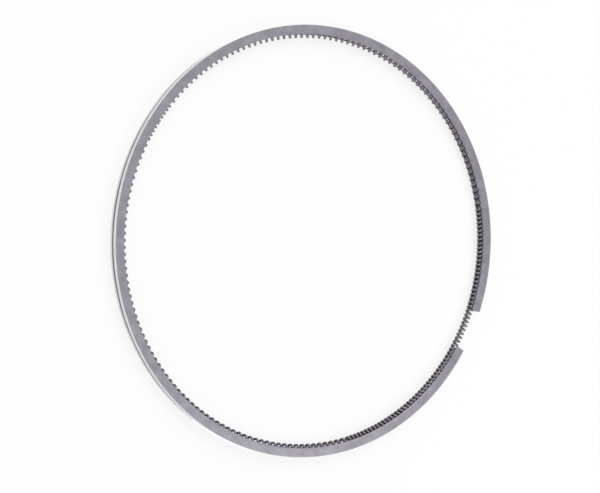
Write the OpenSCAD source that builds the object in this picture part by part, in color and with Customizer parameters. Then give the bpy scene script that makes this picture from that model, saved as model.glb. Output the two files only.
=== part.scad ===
// Two-piece oil control ring of a piston, free and unclamped.
// A split ring body with two scraping lands carries a coil expander spring in the
// round seat on its inner side. A latch wire inside the coil holds the spring's two
// ends together. The ring lies on its lower flank: +Z is the ring's axis, the origin
// is on that axis at the lower flank, and the ring gap is centred on +X.

/* [Ring body] */
// Outer diameter over the lands, with the ring free
free_d = 90.8; // [70:0.2:110]
// Height between the two flanks
ring_h = 2.5; // [2.2:0.1:4]
// Radial wall, from the lands to the inner edge of the flanks
wall = 2; // [1.8:0.1:3.4]
// Free gap between the two ends, measured at the lands
free_gap = 9.4; // [4:0.2:16]
// Chamfer on the outer corner of each end
end_chamfer = 0.25; // [0.05:0.05:0.5]
// Chamfer on the inner edge of each flank
inner_chamfer = 0.1; // [0.02:0.02:0.2]

/* [Lands and oil groove] */
// Height of each scraping land, bevel included
land_h = 0.85; // [0.5:0.05:1]
// Bevel on the flank side of each land, along the ring's axis
bevel_h = 0.18; // [0.05:0.01:0.3]
// Bevel on the flank side of each land, along the radius
bevel_depth = 0.07; // [0.02:0.01:0.2]
// Depth of the oil groove between the lands
groove_depth = 0.5; // [0.3:0.05:0.7]
// Lean of each oil groove wall, from its mouth to its root
groove_lean = 0.08; // [0:0.02:0.12]

/* [Drain slots] */
// Number of slots between the oil groove and the spring seat
slot_count = 10; // [6:1:14]
// Height of a slot
slot_h = 0.5; // [0.3:0.05:0.6]
// Length of a slot where it opens into the spring seat
slot_length = 6; // [3:0.5:8]
// Diameter of the disc cutter that mills the slots
cutter_d = 24; // [20:1:40]

/* [Expander spring] */
// Inside diameter of the coil, which the latch wire lies in
coil_d = 0.56; // [0.46:0.02:0.8]
// Diameter of the spring wire
wire_d = 0.54; // [0.36:0.02:0.6]
// Depth of the coil in its seat, from the inner edge of the flanks
seat_depth = 0.82; // [0.5:0.02:0.9]
// Clearance between the coil and its seat
seat_clearance = 0.05; // [0.02:0.01:0.1]
// Direction of the butt joint between the spring's ends, from +X
joint_angle = 172.2; // [120:0.2:240]
// Space between the two wire ends that lie side by side at the butt joint
joint_space = 0.04; // [0.02:0.01:0.2]
// Pitch of the fine turns opposite the butt joint
fine_pitch = 0.95; // [0.8:0.01:1.2]
// Arc that the fine turns cover, in degrees
fine_span = 86.4; // [30:0.2:120]
// Pitch of the wide turns along both sides
wide_pitch = 1.42; // [1.2:0.01:1.7]
// Pitch of the close turns at each end of the spring
end_pitch = 0.94; // [0.8:0.01:1.2]
// Number of close turns at each end of the spring
end_turns = 4; // [2:1:8]

/* [Latch wire] */
// Length of the latch wire along its arc
latch_length = 22; // [10:1:40]
// Clearance between the latch wire and the inside of the coil
latch_clearance = 0.05; // [0.03:0.01:0.08]

/* [Hidden] */
$fn = 96;

// Colours of the finished pieces
ring_grey = "#96949c";
spring_grey = "#6c6a70";
latch_grey = "#7d7b80";

// Ring body: radii from the lands inwards, and half of the gap's angle
outer_r = free_d / 2;
inner_r = outer_r - wall;
root_r = outer_r - groove_depth;
mid_z = ring_h / 2;
gap_half_angle = asin(free_gap / 2 / outer_r);
body_angle = 360 - 2 * gap_half_angle;
past = 1;

// Spring seat and the circle that the middle of the coil follows
wire_r = wire_d / 2;
turn_r = coil_d / 2 + wire_r;
coil_r = turn_r + wire_r;
seat_r = coil_r + seat_clearance;
path_r = inner_r + seat_depth - coil_r;
seat_bottom_r = path_r + seat_r;
// Straight pieces in the seat's round section, each of them seat_r from its middle
seat_pieces = 32;

// Drain slots: each is one plunge of a disc cutter through the web
cutter_r = cutter_d / 2;
slot_half = slot_length / 2;
cutter_at = sqrt(pow(seat_bottom_r, 2) - pow(slot_half, 2)) + sqrt(pow(cutter_r, 2) - pow(slot_half, 2));
slot_step = body_angle / slot_count;

// Spring turns, counted from the butt joint: close, wide, fine, wide, close
function arc_degrees(length, r) = length / r * 180 / PI;
joint_step = arc_degrees(wire_d + joint_space, path_r - turn_r);
end_step = arc_degrees(end_pitch, path_r);
wide_span = (360 - joint_step - fine_span) / 2 - end_turns * end_step;
wide_turns = round(wide_span / arc_degrees(wide_pitch, path_r));
wide_step = wide_span / wide_turns;
fine_turns = round(fine_span / arc_degrees(fine_pitch, path_r));
fine_step = fine_span / fine_turns;
turns = fine_turns + 2 * (wide_turns + end_turns);
// Straight pieces of wire in a turn, and corners of the wire's section, which has the
// area of the round wire
turn_pieces = 6;
corners = 4;
corner_r = wire_r * sqrt(2 * PI / corners / sin(360 / corners));
stations = turns * turn_pieces;

// Latch wire: it fills the inside of the coil, half its length on each side of the joint
latch_r = turn_r * cos(180 / turn_pieces) - wire_r - latch_clearance;
latch_angle = arc_degrees(latch_length, path_r);

// Angle from the start of the spring to turn i, up to its middle turn
function half_angle(i) = end_step * min(i, end_turns)
    + wide_step * max(0, min(i - end_turns, wide_turns))
    + fine_step * max(0, i - end_turns - wide_turns);
// Angle from +X to turn i, the second half of the spring mirroring the first
function turn_angle(i) = joint_angle + joint_step / 2
    + (i <= turns / 2 ? half_angle(i) : 360 - joint_step - half_angle(turns - i));
// Length of path that the turn around turn number i covers
function turn_advance(i) = path_r * (turn_angle(i + 0.5) - turn_angle(i - 0.5)) * PI / 180;

// Corners of the wire's section at turn number i. The coil starts on its inner side
// and rises first. Outward is away from the middle of the coil, and across is square
// to the wire, which leans along the path by its advance.
function wire_section(i) =
    let (
        angle = turn_angle(i),
        radial = [cos(angle), sin(angle), 0],
        along = [-sin(angle), cos(angle), 0],
        up = [0, 0, 1],
        outward = up * sin(360 * i) - radial * cos(360 * i),
        rising = up * cos(360 * i) + radial * sin(360 * i),
        lean = atan2(turn_advance(i), 2 * PI * turn_r),
        across = along * cos(lean) - rising * sin(lean),
        middle = radial * path_r + up * mid_z + outward * turn_r
    )
    [
        for (j = [0.5 : corners - 0.5])
            middle + (outward * cos(360 * j / corners) + across * sin(360 * j / corners)) * corner_r
    ];

// The two triangles of the wire's side from station i to the next, and from corner j
// to the next
function wire_side(i, j) =
    let (
        k = (j + 1) % corners,
        here = i * corners,
        next = here + corners
    )
    [[here + j, here + k, next + k], [here + j, next + k, next + j]];

// Section of the ring body: flanks, bevelled lands and oil groove
module body_section() {
    land_top = ring_h - land_h;
    polygon([
        [inner_r, inner_chamfer],
        [inner_r + inner_chamfer, 0],
        [outer_r - bevel_depth, 0],
        [outer_r, bevel_h],
        [outer_r, land_h],
        [root_r, land_h + groove_lean],
        [root_r, land_top - groove_lean],
        [outer_r, land_top],
        [outer_r, ring_h - bevel_h],
        [outer_r - bevel_depth, ring_h],
        [inner_r + inner_chamfer, ring_h],
        [inner_r, ring_h - inner_chamfer]
    ]);
}

// Round seat for the coil on the inner side of the body
module spring_seat() {
    seat_corner_r = seat_r / cos(180 / seat_pieces);
    translate([0, 0, mid_z])
        rotate_extrude()
            translate([path_r, 0])
                polygon([
                    for (i = [0.5 : seat_pieces - 0.5])
                        [cos(360 * i / seat_pieces), sin(360 * i / seat_pieces)] * seat_corner_r
                ]);
}

// Drain slots, evenly spaced along the body
module drain_slots() {
    for (i = [0 : slot_count - 1])
        rotate(gap_half_angle + (i + 0.5) * slot_step)
            translate([cutter_at, 0, mid_z])
                cylinder(h = slot_h, r = cutter_r, center = true);
}

// Wedge that takes the outer corner off an end; side is 1 or -1
module end_corner(side) {
    rotate(side * gap_half_angle)
        translate([outer_r, 0, mid_z])
            rotate(45)
                cube([end_chamfer * sqrt(2), end_chamfer * sqrt(2), ring_h + 2 * past], center = true);
}

module ring_body() {
    color(ring_grey)
        difference() {
            rotate(gap_half_angle)
                rotate_extrude(angle = body_angle)
                    body_section();
            spring_seat();
            drain_slots();
            end_corner(1);
            end_corner(-1);
        }
}

// One wire, swept along the coil from butt end to butt end
module expander_spring() {
    sections = [for (i = [0 : stations]) each wire_section(i / turn_pieces)];
    sides = [for (i = [0 : stations - 1]) for (j = [0 : corners - 1]) each wire_side(i, j)];
    start_end = [for (j = [corners - 1 : -1 : 0]) j];
    far_end = [for (j = [0 : corners - 1]) stations * corners + j];
    color(spring_grey)
        polyhedron(sections, concat([start_end], sides, [far_end]), convexity = 10);
}

module latch_wire() {
    color(latch_grey)
        translate([0, 0, mid_z])
            rotate(joint_angle - latch_angle / 2)
                rotate_extrude(angle = latch_angle)
                    translate([path_r, 0])
                        circle(latch_r);
}

ring_body();
expander_spring();
latch_wire();
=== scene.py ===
"""Oil control ring of a piston, with its coil expander, dressed for rendering.

Lengths are in metres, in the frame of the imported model: +Z is the ring's axis, the lower
flank lies at z = 0, and the ring gap is centred on +X.
"""

import math

import bpy
import numpy as np
from bpy.props import FloatProperty, FloatVectorProperty, IntProperty, PointerProperty
from mathutils import Matrix, Vector


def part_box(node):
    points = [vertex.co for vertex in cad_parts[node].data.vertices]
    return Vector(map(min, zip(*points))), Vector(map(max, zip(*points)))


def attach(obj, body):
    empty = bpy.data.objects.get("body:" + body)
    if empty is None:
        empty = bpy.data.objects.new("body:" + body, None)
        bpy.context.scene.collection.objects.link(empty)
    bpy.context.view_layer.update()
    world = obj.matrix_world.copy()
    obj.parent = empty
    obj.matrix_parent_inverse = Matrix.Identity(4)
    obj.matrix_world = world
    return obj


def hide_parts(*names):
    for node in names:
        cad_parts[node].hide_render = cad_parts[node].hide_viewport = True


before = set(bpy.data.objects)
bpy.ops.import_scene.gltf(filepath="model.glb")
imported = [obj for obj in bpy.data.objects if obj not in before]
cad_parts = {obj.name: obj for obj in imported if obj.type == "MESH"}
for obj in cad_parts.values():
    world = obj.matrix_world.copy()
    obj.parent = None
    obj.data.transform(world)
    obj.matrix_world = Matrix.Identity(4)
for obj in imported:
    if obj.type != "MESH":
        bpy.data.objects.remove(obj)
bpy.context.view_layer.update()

bl_info = {
    "name": "Oil Control Ring",
    "version": (1, 0, 0),
    "blender": (4, 5, 0),
    "location": "View3D > Sidebar > Oil Ring",
    "description": "Dresses a packed oil control ring with ground iron, a wound spring and a studio",
    "category": "Add Mesh",
}

MM = 0.001
BODY_LOW, BODY_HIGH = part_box("ring_body")
OUTER_RADIUS = -BODY_LOW.x
RING_HEIGHT = BODY_HIGH.z
SHARP_ANGLE = math.radians(60)
SENSOR_WIDTH_MM = 36.0
CLIP_START = 0.01
WHITE = (1.0, 1.0, 1.0)
# Most values of a noise texture lie between low and high, about the middle
NOISE_LOW = 0.3
NOISE_MIDDLE = 0.5
NOISE_HIGH = 0.7


def length(name, description, default):
    """A length property, in metres."""
    return FloatProperty(
        name=name, description=description, default=default, unit="LENGTH", precision=6
    )


def angle(name, description, degrees):
    """An angle property, kept in radians."""
    return FloatProperty(
        name=name, description=description, default=math.radians(degrees), subtype="ANGLE"
    )


def share(name, description, default):
    """A property for a share, from 0 to 1."""
    return FloatProperty(
        name=name, description=description, default=default, subtype="FACTOR", min=0.0, max=1.0
    )


def focal_length(name, description, default):
    """A property for the focal length of a lens, in millimetres."""
    return FloatProperty(name=name, description=description, default=default, unit="CAMERA")


def power(name, description, default):
    """A property for the power of a lamp, in watts."""
    return FloatProperty(name=name, description=description, default=default, unit="POWER")


def count(name, description, default, low):
    """A whole number property that is at least low."""
    return IntProperty(name=name, description=description, default=default, min=low)


def colour(name, description, default):
    """A linear colour property."""
    return FloatVectorProperty(
        name=name, description=description, default=default, subtype="COLOR", min=0.0, max=1.0
    )


class RingSizes(bpy.types.PropertyGroup):
    """Sizes of the ring body that its finish follows"""

    outer_radius: length("Outer radius", "Radius over the two lands", OUTER_RADIUS)
    height: length("Height", "Height between the two flanks", RING_HEIGHT)
    wall: length("Wall", "Radial wall from the lands to the inner edge of the flanks", 2.0 * MM)
    land_height: length("Land height", "Height of each land, with its bevel", 0.85 * MM)
    bevel_depth: length("Bevel depth", "Radial depth of the bevel beside each land", 0.07 * MM)
    # Painted highlight: the rim on each flank's outer edge takes the lands' light colour, standing in for
    # the reflection of a rounded edge
    painted_highlight_rim_width: length("Rim width", "Outer edge of each flank that is polished with its land", 0.1 * MM)
    groove_depth: length("Groove depth", "Depth of the oil groove between the lands", 0.5 * MM)
    seat_depth: length("Seat depth", "Depth of the coil in its seat", 0.82 * MM)
    seat_clearance: length("Seat clearance", "Clearance between the coil and its seat", 0.05 * MM)


class SpringSizes(bpy.types.PropertyGroup):
    """Sizes of the coil expander and its wire"""

    coil_bore: length("Coil bore", "Inside diameter of the coil", 0.56 * MM)
    wire_diameter: length("Wire diameter", "Diameter of the spring wire", 0.54 * MM)
    joint_angle: angle("Butt joint", "Direction of the joint between the spring's ends, from +X", 172.2)
    joint_space: length("Joint space", "Space between the two wire ends at the joint", 0.04 * MM)
    fine_pitch: length("Fine pitch", "Pitch of the fine turns opposite the joint", 0.95 * MM)
    fine_span: angle("Fine span", "Arc that the fine turns cover", 86.4)
    wide_pitch: length("Wide pitch", "Pitch of the wide turns along both sides", 1.42 * MM)
    end_pitch: length("End pitch", "Pitch of the close turns beside the joint", 0.94 * MM)
    end_turns: count("End turns", "Close turns at each end", 4, 1)
    turn_steps: count("Steps a turn", "Mesh stations in a turn", 20, 6)
    wire_sides: count("Wire sides", "Mesh corners round the wire", 10, 4)


class Finishes(bpy.types.PropertyGroup):
    """Colours of the metals, as linear values"""

    flank: colour("Flanks", "Ground iron of the flanks", (0.276, 0.263, 0.3))
    land: colour("Lands", "Polished iron of the lands", (0.72, 0.72, 0.735))
    groove: colour("Groove", "Turned iron in the oil groove", (0.5, 0.49, 0.51))
    # Painted fill light: the seat's turned iron is set much lighter than the flanks to lift the shade
    # between the coil's turns
    seat: colour("Seat", "Turned iron in the spring seat", (0.55, 0.51, 0.57))
    wire: colour("Spring wire", "Drawn wire of the expander", (0.255, 0.232, 0.266))
    wire_dark: colour("Wire film", "Oil film between the drawing lines", (0.15, 0.137, 0.158))
    latch: colour("Latch wire", "Drawn wire inside the coil", (0.2, 0.195, 0.205))


class Studio(bpy.types.PropertyGroup):
    """Camera, lamps and floor"""

    camera_azimuth: angle("Camera azimuth", "Direction from the ring to the camera, from +X", -156.37)
    camera_elevation: angle("Camera elevation", "Height of the camera above the flank's plane", 60.32)
    camera_roll: angle("Camera roll", "Turn of the camera about its own axis", -92.8)
    camera_distance: length("Camera distance", "From the point aimed at to the camera", 384.75 * MM)
    aim_x: length("Aim X", "Point on the upper flank's plane that the camera aims at", -2.576 * MM)
    aim_y: length("Aim Y", "Point on the upper flank's plane that the camera aims at", -2.411 * MM)
    lens: focal_length("Lens", "Focal length in millimetres, for a sensor 36 mm wide", 110.56)
    dome: share("Dome", "Strength of the white surroundings on matt surfaces", 0.65)
    key_azimuth: angle("Key azimuth", "Direction from the ring to the key lamp, from +X", 112.0)
    key_elevation: angle("Key elevation", "Height of the key lamp above the floor", 42.0)
    key_distance: length("Key distance", "From the ring's middle to the key lamp", 0.7)
    key_side: length("Key side", "Side of the square key lamp", 0.6)
    key_power: power("Key power", "Power of the key lamp, which lights the floor beside the lands", 2.16)
    sheen_azimuth: angle("Sheen azimuth", "Direction from the ring to the sheen lamp, from +X", -31.0)
    sheen_elevation: angle("Sheen elevation", "Height of the sheen lamp above the floor", 45.8)
    sheen_distance: length("Sheen distance", "From the ring's middle to the sheen lamp", 0.35)
    sheen_side: length("Sheen side", "Side of the square sheen lamp", 0.2)
    sheen_power: power("Sheen power", "Power of the sheen lamp, which shines in the flank", 0.24)
    floor_size: length("Floor size", "Side of the square floor", 4.0)
    floor_drop: length("Floor drop", "Space between the lower flank and the floor", 0.01 * MM)
    floor_colour: colour("Floor", "White of the floor", (0.95, 0.95, 0.95))
    floor_glow: share("Floor glow", "Share of plain white that the camera sees in the floor", 0.78)


class Socket:
    """An output of a shader node. Expressions on it add Math nodes."""

    def __init__(self, graph, output):
        self.graph = graph
        self.output = output

    def maths(self, operation, *values):
        """A Math node over values, each of them a socket or a number."""
        return self.graph.node("ShaderNodeMath", {"operation": operation}, dict(enumerate(values)))

    def __add__(self, other):
        return self.maths("ADD", self, other)

    def __radd__(self, other):
        return self.maths("ADD", other, self)

    def __sub__(self, other):
        return self.maths("SUBTRACT", self, other)

    def __rsub__(self, other):
        return self.maths("SUBTRACT", other, self)

    def __mul__(self, other):
        return self.maths("MULTIPLY", self, other)

    def __rmul__(self, other):
        return self.maths("MULTIPLY", other, self)

    def __truediv__(self, other):
        return self.maths("DIVIDE", self, other)

    def __pow__(self, other):
        return self.maths("POWER", self, other)

    def __abs__(self):
        return self.maths("ABSOLUTE", self)

    def cosine(self):
        return self.maths("COSINE", self)

    def sine(self):
        return self.maths("SINE", self)

    def maximum(self, other):
        return self.maths("MAXIMUM", self, other)

    def ramp(self, low, high):
        """0 below low, 1 above high, and a smooth step between."""
        return self.graph.node(
            "ShaderNodeMapRange",
            {"interpolation_type": "SMOOTHSTEP"},
            {"Value": self, "From Min": low, "From Max": high},
        )


class Graph:
    """The nodes of one material or world."""

    def __init__(self, owner):
        self.owner = owner
        self.owner.use_nodes = True
        self.tree = self.owner.node_tree
        self.tree.nodes.clear()

    def node(self, kind, settings=None, inputs=None, output=0):
        """A node of any kind: its settings come first, then its sockets are set or linked."""
        made = self.tree.nodes.new(kind)
        for name, value in (settings or {}).items():
            setattr(made, name, value)
        for name, value in (inputs or {}).items():
            if isinstance(value, Socket):
                self.tree.links.new(value.output, made.inputs[name])
            else:
                made.inputs[name].default_value = value
        return Socket(self, made.outputs[output]) if made.outputs else None

    def coordinates(self, source="Object"):
        """The three coordinates of a point, as separate values."""
        place = self.node("ShaderNodeTexCoord", output=source)
        return [self.node("ShaderNodeSeparateXYZ", inputs={0: place}, output=i) for i in range(3)]

    def noise(self, x, y, z, detail=2.0, roughness=0.5):
        """Noise from 0 to 1 over three coordinates, which are in units of its grain."""
        place = self.node("ShaderNodeCombineXYZ", inputs={0: x, 1: y, 2: z})
        inputs = {"Vector": place, "Scale": 1.0, "Detail": detail, "Roughness": roughness}
        return self.node("ShaderNodeTexNoise", inputs=inputs)

    def mix(self, factor, first, second):
        """A colour that goes from first to second with factor."""
        inputs = {0: factor, 6: rgba(first), 7: rgba(second)}
        return self.node("ShaderNodeMix", {"data_type": "RGBA"}, inputs, output=2)

    def streaks(self, marks, value, contrast):
        """A colour that noise marks make darker and lighter, by a share of itself."""
        shade = marks.ramp(NOISE_LOW, NOISE_HIGH)
        return self.mix(shade, scaled(value, 1 - contrast), scaled(value, 1 + contrast))

    def bump(self, height, depth, strength):
        """A normal bent by height, where height 1 stands depth above height 0."""
        inputs = {"Height": height, "Distance": depth, "Strength": strength}
        return self.node("ShaderNodeBump", inputs=inputs)

    def metal(self, base_colour, roughness, normal):
        """Closes the graph with a metal shader and returns its material."""
        inputs = {
            "Base Color": base_colour,
            "Metallic": 1.0,
            "Roughness": roughness,
            "Normal": normal,
        }
        shader = self.node("ShaderNodeBsdfPrincipled", inputs=inputs)
        self.node("ShaderNodeOutputMaterial", inputs={"Surface": shader})
        return self.owner


def rgba(value):
    """A colour as four numbers, or a socket as it is."""
    return value if isinstance(value, Socket) else (*value, 1.0)


def scaled(value, factor):
    """A colour made lighter or darker by a factor."""
    return tuple(factor * channel for channel in value)


def ground_iron(sizes, path, finishes):
    """Ring body: ground flanks, polished lands, and a turned groove and seat.

    The surfaces are told apart by their radius and by their height off the ring's middle. A thin rim at
    each flank's outer edge takes the lands' light colour as a painted highlight of a rounded edge, and
    the seat's light colour is painted fill light in the shade between the coil's turns.
    """
    graph = Graph(bpy.data.materials.new("ground_iron"))
    x, y, z = graph.coordinates()
    radius = (x * x + y * y) ** 0.5
    off_middle = abs(z - sizes.height / 2)

    # Machining marks run round the ring: long along x and y, fine along the radius or the height
    mark_length = 5.0 * MM
    mark_width = 0.05 * MM
    mottle_size = 2.2 * MM
    ground_marks = graph.noise(x / mark_length, y / mark_length, radius / mark_width, detail=3.0)
    turned_marks = graph.noise(x / mark_length, y / mark_length, z / mark_width, detail=2.0)
    mottle = graph.noise(x / mottle_size, y / mottle_size, z / mottle_size, detail=4.0, roughness=0.6)

    # Masks of the surfaces, each with a soft edge
    soft = sizes.bevel_depth / 3
    bevel_start = sizes.outer_radius - sizes.bevel_depth
    # The land mask reaches past the bevel onto each flank's outer rim, where the land colour is a painted
    # highlight of a rounded edge
    land = radius.ramp(bevel_start - sizes.painted_highlight_rim_width, bevel_start)
    root = sizes.outer_radius - sizes.groove_depth
    groove_half = sizes.height / 2 - sizes.land_height
    beside_groove = off_middle.ramp(groove_half + soft, groove_half + 2 * soft)
    groove = radius.ramp(root - soft, root) * (1 - beside_groove)
    seat_radius = path.coil_radius + sizes.seat_clearance
    from_coil = ((radius - path.path_radius) ** 2 + off_middle**2) ** 0.5
    seat = 1 - from_coil.ramp(seat_radius + soft, seat_radius + 2 * soft)

    contrast = 0.14
    mottle_share = 0.8
    flank_marks = mottle_share * mottle + (1 - mottle_share) * ground_marks
    skin = graph.streaks(flank_marks, finishes.flank, contrast)
    skin = graph.mix(groove, skin, graph.streaks(turned_marks, finishes.groove, contrast))
    # Painted fill light: the seat's light colour lifts the shade that falls between the coil's turns
    skin = graph.mix(seat, skin, graph.streaks(turned_marks, finishes.seat, contrast))
    # Painted highlight: the land colour also covers the flank's outer rim, in place of a rounded edge's
    # reflection
    skin = graph.mix(land, skin, graph.streaks(turned_marks, finishes.land, contrast))

    # Polishing takes a share of the roughness off the lands, and their turning marks add some
    ground_roughness = 0.35
    mottle_roughness = 0.1
    mark_roughness = 0.08
    polish = 0.55
    turned_roughness = 0.06
    uneven = mottle_roughness * (mottle - NOISE_MIDDLE) + mark_roughness * (ground_marks - NOISE_MIDDLE)
    roughness = (ground_roughness + uneven) * (1 - polish * land) + turned_roughness * land * turned_marks

    mark_depth = 0.004 * MM
    mark_strength = 0.25
    marks = ground_marks * (1 - land) + turned_marks * land
    return graph.metal(skin, roughness, graph.bump(marks, mark_depth, mark_strength))


def drawn_wire(finishes):
    """Drawn spring wire: fine lines along the wire, with an oil film between them.

    The UV map runs along the wire in metres and once round it. The lines are noise on a
    circle round the wire, so they close.
    """
    graph = Graph(bpy.data.materials.new("drawn_wire"))
    along, around, _ = graph.coordinates("UV")
    line_length = 2.5 * MM
    circle_radius = 9.0
    turn = around * (2 * math.pi)
    across = turn.cosine() * circle_radius
    over = turn.sine() * circle_radius
    lines = graph.noise(along / line_length, across, over, detail=2.0)
    patch_length = 7.0 * MM
    patches = graph.noise(along / patch_length, 0.0, 0.0, detail=3.0)
    line_share = 0.55
    clean = (line_share * lines + (1 - line_share) * patches).ramp(NOISE_LOW, NOISE_HIGH)
    skin = graph.mix(clean, finishes.wire_dark, finishes.wire)

    film_roughness = 0.4
    clean_polish = 0.1
    line_depth = 0.003 * MM
    line_strength = 0.3
    roughness = film_roughness - clean_polish * clean
    return graph.metal(skin, roughness, graph.bump(lines, line_depth, line_strength))


def latch_steel(finishes):
    """Latch wire inside the coil: dull drawn wire, mottled along its length."""
    graph = Graph(bpy.data.materials.new("latch_steel"))
    x, y, z = graph.coordinates()
    mottle_size = 0.4 * MM
    mottle = graph.noise(x / mottle_size, y / mottle_size, z / mottle_size, detail=3.0)
    dull_share = 0.8
    mottle_gain = 1.5
    skin = graph.mix(mottle_gain * mottle, scaled(finishes.latch, dull_share), finishes.latch)

    smooth_roughness = 0.36
    mottle_roughness = 0.14
    mottle_depth = 0.003 * MM
    mottle_strength = 0.2
    roughness = smooth_roughness + mottle_roughness * mottle
    return graph.metal(skin, roughness, graph.bump(mottle, mottle_depth, mottle_strength))


class CoilPath:
    """The circle that the coil follows, and how its turns are spread along it."""

    def __init__(self, ring, spring):
        self.wire_radius = spring.wire_diameter / 2
        self.turn_radius = spring.coil_bore / 2 + self.wire_radius
        self.coil_radius = self.turn_radius + self.wire_radius
        self.path_radius = ring.outer_radius - ring.wall + ring.seat_depth - self.coil_radius
        self.middle_z = ring.height / 2
        self.end_turns = spring.end_turns
        joint_width = spring.wire_diameter + spring.joint_space
        self.joint_step = joint_width / (self.path_radius - self.turn_radius)
        self.whole_angle = 2 * math.pi - self.joint_step
        self.end_step = spring.end_pitch / self.path_radius
        wide_span = (self.whole_angle - spring.fine_span) / 2 - self.end_turns * self.end_step
        self.wide_turns = round(wide_span * self.path_radius / spring.wide_pitch)
        self.wide_step = wide_span / self.wide_turns
        fine_turns = round(spring.fine_span * self.path_radius / spring.fine_pitch)
        self.fine_step = spring.fine_span / fine_turns
        self.turns = fine_turns + 2 * (self.wide_turns + self.end_turns)
        self.start = spring.joint_angle + self.joint_step / 2

    def half_angle(self, turn):
        """Angle from the spring's start: close turns, then wide ones, then fine ones."""
        close = np.minimum(turn, self.end_turns) * self.end_step
        wide = np.clip(turn - self.end_turns, 0, self.wide_turns) * self.wide_step
        fine = np.maximum(turn - self.end_turns - self.wide_turns, 0) * self.fine_step
        return close + wide + fine

    def angle(self, turn):
        """Angle from +X at each turn number; the second half of the spring mirrors the first."""
        second = self.whole_angle - self.half_angle(self.turns - turn)
        return self.start + np.where(turn <= self.turns / 2, self.half_angle(turn), second)

    def wire_grid(self, turn_steps, wire_sides):
        """Points round the wire at every station, and the length of wire up to each station.

        The wire's middle goes round the path circle at turn_radius: inner side first, then over
        the top. Its section is a circle square to the wire, which leans along the path by the
        advance of one turn over its circumference.
        """
        turn = np.arange(self.turns * turn_steps + 1) / turn_steps
        bearing = self.angle(turn)
        zero = np.zeros_like(bearing)
        radial = np.stack([np.cos(bearing), np.sin(bearing), zero], axis=-1)
        along = np.stack([-np.sin(bearing), np.cos(bearing), zero], axis=-1)
        up = np.array([0.0, 0.0, 1.0])
        phase = (2 * math.pi * turn)[:, None]
        outward = up * np.sin(phase) - radial * np.cos(phase)
        rising = up * np.cos(phase) + radial * np.sin(phase)
        advance = self.path_radius * (self.angle(turn + 0.5) - self.angle(turn - 0.5))
        lean = np.arctan2(advance, 2 * math.pi * self.turn_radius)[:, None]
        across = along * np.cos(lean) - rising * np.sin(lean)
        middle = radial * self.path_radius + up * self.middle_z + outward * self.turn_radius
        corner = (2 * math.pi * np.arange(wire_sides) / wire_sides)[None, :, None]
        section = outward[:, None] * np.cos(corner) + across[:, None] * np.sin(corner)
        steps = np.linalg.norm(np.diff(middle, axis=0), axis=1)
        run = np.concatenate([[0.0], np.cumsum(steps)])
        return middle[:, None] + self.wire_radius * section, run


def tube_mesh(name, points, run):
    """Closed mesh of a tube, with a flat cap on each end.

    Each point, points[station, corner], is joined to the next station and the next corner. The
    UV map runs along the tube in metres, as run gives it for each station, and once round it.
    """
    stations, corners = points.shape[:2]
    i, j = np.meshgrid(np.arange(stations - 1), np.arange(corners), indexing="ij")
    here = i * corners
    beyond = here + corners
    turned = (j + 1) % corners
    sides = np.stack([here + j, beyond + j, beyond + turned, here + turned], axis=-1)
    first_cap = np.arange(corners)
    last_cap = (stations - 1) * corners + first_cap[::-1]
    faces = [*sides.reshape(-1, 4).tolist(), first_cap.tolist(), last_cap.tolist()]
    mesh = bpy.data.meshes.new(name)
    mesh.from_pydata(points.reshape(-1, 3).tolist(), [], faces)
    along = np.stack([run[i], run[i + 1], run[i + 1], run[i]], axis=-1)
    around = np.stack([j, j, j + 1, j + 1], axis=-1) / corners
    caps = np.zeros((2 * corners, 2))
    uv = np.concatenate([np.stack([along, around], axis=-1).reshape(-1, 2), caps])
    mesh.uv_layers.new(name="wire").data.foreach_set("uv", uv.ravel())
    mesh.polygons.foreach_set("use_smooth", np.ones(len(mesh.polygons), bool))
    mesh.set_sharp_from_angle(angle=SHARP_ANGLE)
    mesh.validate()
    return mesh


def add_object(name, data):
    """A new object at the origin, in the scene's collection."""
    made = bpy.data.objects.new(name, data)
    bpy.context.scene.collection.objects.link(made)
    return made


def dress(node, material):
    """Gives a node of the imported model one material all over."""
    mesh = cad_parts[node].data
    mesh.materials.clear()
    mesh.materials.append(material)


class OILRING_OT_ring_body(bpy.types.Operator):
    """Gives the ring body its ground flanks, polished lands, and turned groove and seat, with a painted
    highlight on each flank's outer rim and painted fill light in the seat
    """

    bl_idname = "oilring.ring_body"
    bl_label = "Finish Ring Body"

    def execute(self, context):
        scene = context.scene
        path = CoilPath(scene.oilring_ring, scene.oilring_spring)
        dress("ring_body", ground_iron(scene.oilring_ring, path, scene.oilring_finishes))
        return {"FINISHED"}


class OILRING_OT_expander_spring(bpy.types.Operator):
    """Winds the coil expander as a true helix of round wire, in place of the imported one"""

    bl_idname = "oilring.expander_spring"
    bl_label = "Wind Expander Spring"

    def execute(self, context):
        scene = context.scene
        spring = scene.oilring_spring
        path = CoilPath(scene.oilring_ring, spring)
        points, run = path.wire_grid(spring.turn_steps, spring.wire_sides)
        coil = add_object("wound_spring", tube_mesh("wound_spring", points, run))
        coil.data.materials.append(drawn_wire(scene.oilring_finishes))
        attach(coil, "root")
        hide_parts("expander_spring")
        return {"FINISHED"}


class OILRING_OT_latch_wire(bpy.types.Operator):
    """Gives the latch wire inside the coil its dull drawn steel"""

    bl_idname = "oilring.latch_wire"
    bl_label = "Finish Latch Wire"

    def execute(self, context):
        dress("latch_wire", latch_steel(context.scene.oilring_finishes))
        return {"FINISHED"}


def seen_directly(graph):
    """1 for what the camera, a mirror or a glass sees, and 0 for what lights a matt surface."""
    rays = ("Is Camera Ray", "Is Glossy Ray", "Is Transmission Ray")
    camera, glossy, through = [graph.node("ShaderNodeLightPath", output=ray) for ray in rays]
    return camera.maximum(glossy.maximum(through))


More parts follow.
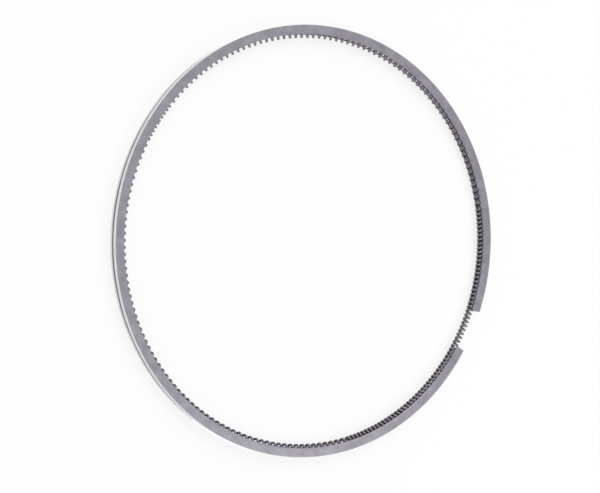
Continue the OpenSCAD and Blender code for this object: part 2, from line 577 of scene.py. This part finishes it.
def floor_white(studio):
    """Matt white floor that keeps shadows, lifted by a share of plain white where it is seen."""
    graph = Graph(bpy.data.materials.new("floor_white"))
    matt = graph.node("ShaderNodeBsdfDiffuse", inputs={"Color": rgba(studio.floor_colour)})
    white = graph.node("ShaderNodeEmission", inputs={"Color": rgba(WHITE), "Strength": 1.0})
    glow = seen_directly(graph) * studio.floor_glow
    mixed = graph.node("ShaderNodeMixShader", inputs={0: glow, 1: matt, 2: white})
    graph.node("ShaderNodeOutputMaterial", inputs={"Surface": mixed})
    return graph.owner


def direction(azimuth, elevation):
    """A unit vector from an azimuth about +Z, measured from +X, and a height above the floor."""
    level = math.cos(elevation)
    return Vector((math.cos(azimuth) * level, math.sin(azimuth) * level, math.sin(elevation)))


class OILRING_OT_stage(bpy.types.Operator):
    """Sets up the pale floor, the white surroundings, the soft lamps and the camera"""

    bl_idname = "oilring.stage"
    bl_label = "Set Stage"

    def execute(self, context):
        studio = context.scene.oilring_studio
        self.add_floor(studio)
        self.light(context.scene, studio)
        self.aim_camera(context.scene, studio)
        context.scene.view_settings.view_transform = "Standard"
        return {"FINISHED"}

    def add_floor(self, studio):
        """One square just below the lower flank."""
        half = studio.floor_size / 2
        corners = [(-half, -half), (half, -half), (half, half), (-half, half)]
        mesh = bpy.data.meshes.new("floor")
        mesh.from_pydata([(x, y, -studio.floor_drop) for x, y in corners], [], [(0, 1, 2, 3)])
        mesh.materials.append(floor_white(studio))
        add_object("floor", mesh)

    def light(self, scene, studio):
        """White surroundings on all sides, and two square soft lamps."""
        graph = Graph(bpy.data.worlds.new("white_room"))
        scene.world = graph.owner
        strength = seen_directly(graph) * (1 - studio.dome) + studio.dome
        white = graph.node("ShaderNodeBackground", inputs={"Color": rgba(WHITE), "Strength": strength})
        graph.node("ShaderNodeOutputWorld", inputs={"Surface": white})
        key_place = direction(studio.key_azimuth, studio.key_elevation) * studio.key_distance
        self.add_lamp("key_lamp", key_place, studio.key_side, studio.key_power)
        sheen_place = direction(studio.sheen_azimuth, studio.sheen_elevation) * studio.sheen_distance
        self.add_lamp("sheen_lamp", sheen_place, studio.sheen_side, studio.sheen_power)

    def add_lamp(self, name, place, side, energy):
        """A square soft lamp that faces the ring."""
        data = bpy.data.lights.new(name, "AREA")
        data.shape = "SQUARE"
        data.size = side
        data.energy = energy
        lamp = add_object(name, data)
        lamp.location = place
        lamp.rotation_euler = place.to_track_quat("Z", "Y").to_euler()

    def aim_camera(self, scene, studio):
        """Camera on a line from the aimed point, rolled about that line."""
        back = direction(studio.camera_azimuth, studio.camera_elevation)
        level_right = Vector((0.0, 0.0, 1.0)).cross(back).normalized()
        level_up = back.cross(level_right)
        turn = math.sin(studio.camera_roll)
        lift = math.cos(studio.camera_roll)
        right = level_right * lift - level_up * turn
        up = level_up * lift + level_right * turn
        aim = Vector((studio.aim_x, studio.aim_y, RING_HEIGHT))
        place = aim + back * studio.camera_distance
        data = bpy.data.cameras.new("camera")
        data.sensor_fit = "HORIZONTAL"
        data.sensor_width = SENSOR_WIDTH_MM
        data.lens = studio.lens
        data.clip_start = CLIP_START
        camera = add_object("camera", data)
        camera.matrix_world = Matrix((right, up, back)).transposed().to_4x4()
        camera.location = place
        scene.camera = camera


class OILRING_PT_panel(bpy.types.Panel):
    """Lists the sizes, finishes and steps of the ring"""

    bl_idname = "OILRING_PT_panel"
    bl_label = "Oil Control Ring"
    bl_space_type = "VIEW_3D"
    bl_region_type = "UI"
    bl_category = "Oil Ring"

    def draw(self, context):
        for step in STEPS:
            self.layout.operator(step.bl_idname)
        for name, group in GROUPS.items():
            box = self.layout.box()
            for field in group.__annotations__:
                box.prop(getattr(context.scene, name), field)


GROUPS = {
    "oilring_ring": RingSizes,
    "oilring_spring": SpringSizes,
    "oilring_finishes": Finishes,
    "oilring_studio": Studio,
}
STEPS = (
    OILRING_OT_ring_body,
    OILRING_OT_expander_spring,
    OILRING_OT_latch_wire,
    OILRING_OT_stage,
)


def register():
    for cls in (*GROUPS.values(), *STEPS, OILRING_PT_panel):
        bpy.utils.register_class(cls)
    for name, group in GROUPS.items():
        setattr(bpy.types.Scene, name, PointerProperty(type=group))


def unregister():
    for name in GROUPS:
        delattr(bpy.types.Scene, name)
    for cls in (OILRING_PT_panel, *reversed(STEPS), *reversed(GROUPS.values())):
        bpy.utils.unregister_class(cls)


def main():
    """Registers the add-on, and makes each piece."""
    register()
    bpy.ops.oilring.ring_body()
    bpy.ops.oilring.expander_spring()
    bpy.ops.oilring.latch_wire()
    bpy.ops.oilring.stage()


if __name__ == "__main__":
    main()
